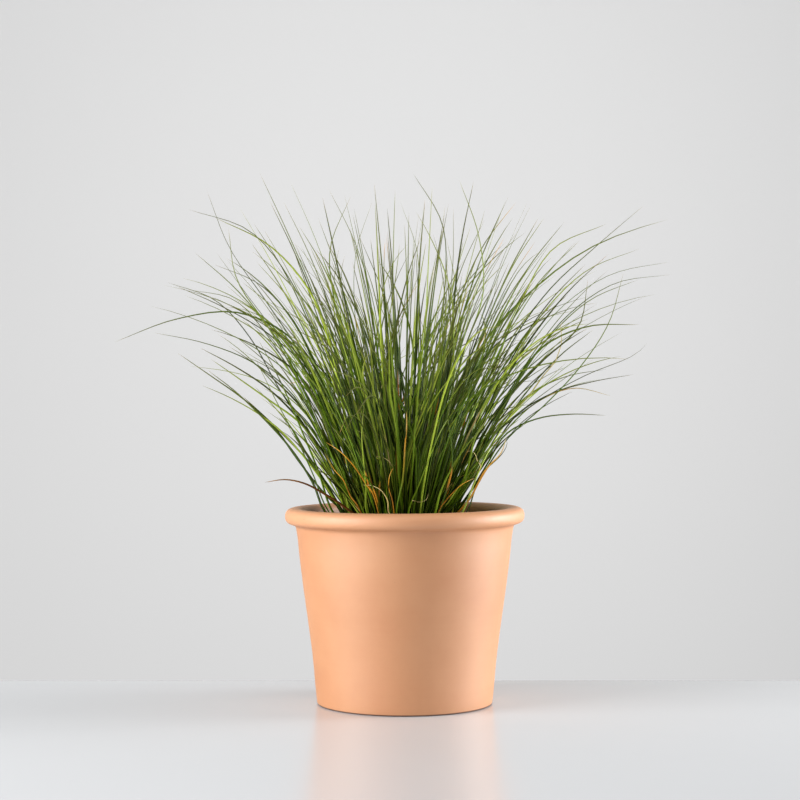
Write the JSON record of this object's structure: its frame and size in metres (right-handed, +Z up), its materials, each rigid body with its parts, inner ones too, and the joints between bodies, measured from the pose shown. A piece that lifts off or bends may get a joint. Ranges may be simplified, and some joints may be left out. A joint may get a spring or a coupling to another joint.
{
  "type": "potted ornamental grass clump",
  "caption": "Clay pot with a rolled rim, filled with soil, that holds a standing fountain of fine, arching grass leaves.",
  "frame": {"origin": "on the pot's axis, in the plane that its foot stands on", "axes": "+Z up along the pot's axis, +X to the right and +Y to the back as the clump is seen in the picture"},
  "size_m": [0.5587, 0.5342, 0.5326],
  "materials": {
    "terracotta": "matte, unglazed fired clay",
    "compost": "matte, crumbly composted bark",
    "grass_leaf": "satin plant fibre"
  },
  "bodies": {
    "root": {"pot": "terracotta", "soil": "compost", "shoot_01": "grass_leaf", "shoot_02": "grass_leaf", "shoot_03": "grass_leaf", "shoot_04": "grass_leaf", "shoot_05": "grass_leaf", "shoot_06": "grass_leaf", "shoot_07": "grass_leaf", "shoot_08": "grass_leaf", "shoot_09": "grass_leaf", "shoot_10": "grass_leaf", "shoot_11": "grass_leaf", "shoot_12": "grass_leaf", "shoot_13": "grass_leaf", "shoot_14": "grass_leaf", "shoot_15": "grass_leaf", "shoot_16": "grass_leaf", "shoot_17": "grass_leaf", "shoot_18": "grass_leaf", "shoot_19": "grass_leaf", "shoot_20": "grass_leaf", "shoot_21": "grass_leaf", "shoot_22": "grass_leaf", "shoot_23": "grass_leaf", "shoot_24": "grass_leaf", "shoot_25": "grass_leaf", "shoot_26": "grass_leaf", "shoot_27": "grass_leaf", "shoot_28": "grass_leaf", "shoot_29": "grass_leaf", "shoot_30": "grass_leaf", "shoot_31": "grass_leaf", "shoot_32": "grass_leaf", "shoot_33": "grass_leaf", "shoot_34": "grass_leaf", "shoot_35": "grass_leaf", "shoot_36": "grass_leaf", "shoot_37": "grass_leaf", "shoot_38": "grass_leaf", "shoot_39": "grass_leaf", "shoot_40": "grass_leaf", "shoot_41": "grass_leaf", "shoot_42": "grass_leaf", "shoot_43": "grass_leaf", "shoot_44": "grass_leaf", "shoot_45": "grass_leaf", "shoot_46": "grass_leaf", "shoot_47": "grass_leaf", "shoot_48": "grass_leaf", "shoot_49": "grass_leaf", "shoot_50": "grass_leaf", "shoot_51": "grass_leaf", "shoot_52": "grass_leaf"}
  },
  "joints": []
}
